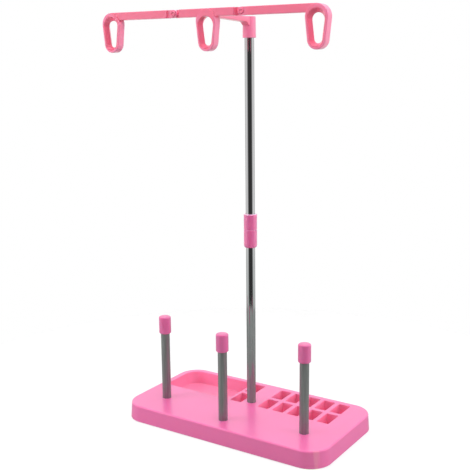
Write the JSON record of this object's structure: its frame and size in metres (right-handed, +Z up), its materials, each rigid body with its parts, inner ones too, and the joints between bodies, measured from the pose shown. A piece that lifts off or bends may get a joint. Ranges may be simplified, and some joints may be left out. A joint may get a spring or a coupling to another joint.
{
  "type": "thread rack",
  "caption": "Table-top thread rack: tray base with bobbin wells, capped steel spool pins, and a jointed mast with a folding thread guide bar.",
  "frame": {"origin": "on the floor, below the middle of the guide bar and halfway between the front and the back of the base", "axes": "+Z up the mast, +X to the right along the base, +Y from the spool pins to the wells"},
  "size_m": [0.2516, 0.1294, 0.4287],
  "materials": {
    "base_plastic": "satin moulded",
    "guide_plastic": "satin moulded",
    "mast_steel": "polished tube",
    "pin_steel": "brushed tube",
    "fastener_steel": "plain turned",
    "pad_rubber": "matt"
  },
  "bodies": {
    "rack": {"base": "base_plastic", "anti_slip_pads": "pad_rubber", "mast_lower_tube": "mast_steel", "mast_foot_insert": "fastener_steel", "mast_screw": "fastener_steel", "mast_washer": "fastener_steel", "lower_coupling_sleeve": "base_plastic", "coupling_spigot": "fastener_steel", "left_spool_pin": "pin_steel", "middle_spool_pin": "pin_steel", "right_spool_pin": "pin_steel"},
    "upper_mast": {"upper_coupling_sleeve": "base_plastic", "mast_upper_tube": "mast_steel"},
    "guide_head": {"guide_head": "guide_plastic", "left_arm_rivet": "guide_plastic", "right_arm_rivet": "guide_plastic"},
    "left_arm": {"left_guide_arm": "guide_plastic"},
    "right_arm": {"right_guide_arm": "guide_plastic"},
    "left_cap": {"left_pin_cap": "base_plastic"},
    "middle_cap": {"middle_pin_cap": "base_plastic"},
    "right_cap": {"right_pin_cap": "base_plastic"}
  },
  "joints": [
    {"name": "upper_mast_lift", "type": "slide", "parent": "rack", "child": "upper_mast", "axis": [0, 0, 1], "range_m": [0, 0.025]},
    {"name": "guide_head_turn", "type": "hinge", "parent": "upper_mast", "child": "guide_head", "pos_m": [0, 0.0117, 0.424], "axis": [0, 0, 1], "continuous": true},
    {"name": "left_arm_fold", "type": "hinge", "parent": "guide_head", "child": "left_arm", "pos_m": [-0.038, -0.0553, 0.425], "axis": [0, -1, 0], "range_deg": [0, 90]},
    {"name": "right_arm_fold", "type": "hinge", "parent": "guide_head", "child": "right_arm", "pos_m": [0.038, -0.0553, 0.425], "axis": [0, 1, 0], "range_deg": [0, 90]},
    {"name": "left_cap_lift", "type": "slide", "parent": "rack", "child": "left_cap", "axis": [0, 0, 1], "range_m": [0, 0.0152]},
    {"name": "middle_cap_lift", "type": "slide", "parent": "rack", "child": "middle_cap", "axis": [0, 0, 1], "range_m": [0, 0.0152]},
    {"name": "right_cap_lift", "type": "slide", "parent": "rack", "child": "right_cap", "axis": [0, 0, 1], "range_m": [0, 0.0152]}
  ]
}
